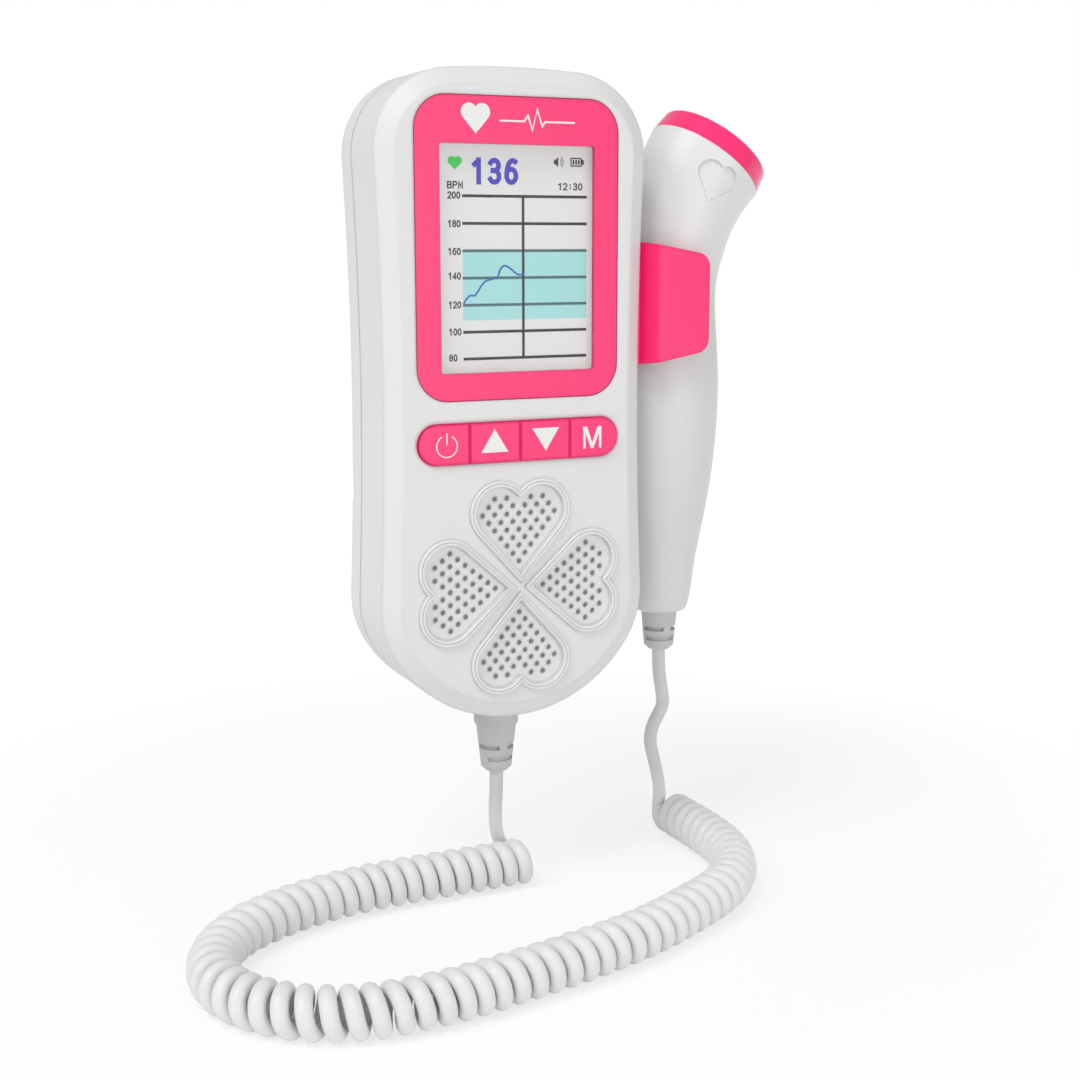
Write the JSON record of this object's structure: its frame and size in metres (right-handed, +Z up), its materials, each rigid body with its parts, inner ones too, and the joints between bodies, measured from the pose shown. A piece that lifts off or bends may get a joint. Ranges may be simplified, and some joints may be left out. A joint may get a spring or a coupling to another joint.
{
  "type": "fetal doppler monitor",
  "caption": "Handheld fetal doppler monitor with a colour display, a row of press buttons, a heart-shaped speaker grille, and a corded probe parked in a side clip.",
  "frame": {"origin": "middle of the unit's flat back, at half the case's height", "axes": "+Z up along the unit, +Y out of its back, +X towards the probe's side; the display faces -Y"},
  "size_m": [0.1613, 0.0915, 0.1967],
  "materials": {
    "case_plastic": "satin",
    "accent_plastic": "satin",
    "lens": "polished",
    "display_glass": "gloss",
    "dark_plastic": "matt",
    "white_plastic": "matt",
    "ribbon": "satin",
    "board": "gloss",
    "capacitor_can": "brushed",
    "screw_steel": "satin",
    "spring_steel": "nickel plated",
    "speaker_steel": "satin",
    "magnet_iron": "zinc plated",
    "cone_paper": "matt",
    "gasket_foam": "matt",
    "cell_case": "satin",
    "relief_rubber": "matt",
    "cord_rubber": "satin",
    "face_plastic": "gloss",
    "piezo_ceramic": "satin",
    "backing_rubber": "matt"
  },
  "bodies": {
    "unit": {"front_shell": "case_plastic", "rear_shell": "case_plastic", "display_bezel": "accent_plastic", "probe_clip": "accent_plastic", "display_window": "lens", "display_module": "display_glass", "display_socket": "dark_plastic", "tact_switches": "dark_plastic", "processor_chip": "dark_plastic", "amplifier_chip": "dark_plastic", "headphone_jack": "dark_plastic", "cable_plug": "dark_plastic", "display_holder": "white_plastic", "display_ribbon": "ribbon", "main_board": "board", "capacitors": "capacitor_can", "case_screws": "screw_steel", "board_screws": "screw_steel", "battery_contacts": "spring_steel", "battery_springs": "spring_steel", "speaker_frame": "speaker_steel", "speaker_magnet": "magnet_iron", "speaker_gasket": "gasket_foam", "battery_cells": "cell_case", "unit_strain_relief": "relief_rubber", "inner_cable": "cord_rubber", "cord_unit_tail": "cord_rubber", "cord_curl": "cord_rubber", "cord_probe_tail": "cord_rubber"},
    "door": {"battery_door": "case_plastic"},
    "power_key": {"button_power": "accent_plastic", "plunger_power": "white_plastic"},
    "up_key": {"button_up": "accent_plastic", "plunger_up": "white_plastic"},
    "down_key": {"button_down": "accent_plastic", "plunger_down": "white_plastic"},
    "mode_key": {"button_mode": "accent_plastic", "plunger_mode": "white_plastic"},
    "cone": {"speaker_cone": "cone_paper"},
    "probe": {"probe_strain_relief": "relief_rubber", "probe_front_shell": "case_plastic", "probe_rear_shell": "case_plastic", "probe_screws": "screw_steel", "probe_board": "board", "probe_ring": "accent_plastic", "probe_face": "face_plastic", "piezo_discs": "piezo_ceramic", "backing_block": "backing_rubber"}
  },
  "joints": [
    {"name": "power_press", "type": "slide", "parent": "unit", "child": "power_key", "axis": [0, 1, 0], "range_m": [0, 0.0005], "stiffness_N_per_m": 900},
    {"name": "up_press", "type": "slide", "parent": "unit", "child": "up_key", "axis": [0, 1, 0], "range_m": [0, 0.0005], "stiffness_N_per_m": 900},
    {"name": "down_press", "type": "slide", "parent": "unit", "child": "down_key", "axis": [0, 1, 0], "range_m": [0, 0.0005], "stiffness_N_per_m": 900},
    {"name": "mode_press", "type": "slide", "parent": "unit", "child": "mode_key", "axis": [0, 1, 0], "range_m": [0, 0.0005], "stiffness_N_per_m": 900},
    {"name": "door_hinge", "type": "hinge", "parent": "unit", "child": "door", "pos_m": [0, -0.0006, -0.0023], "axis": [1, 0, 0], "range_deg": [0, 60]},
    {"name": "cone_throw", "type": "slide", "parent": "unit", "child": "cone", "axis": [0, 1, 0], "range_m": [-0.0003, 0.0003], "stiffness_N_per_m": 600},
    {"name": "probe_slide", "type": "slide", "parent": "unit", "child": "probe", "axis": [1, 0, 0], "range_m": [0, 0.035]}
  ]
}
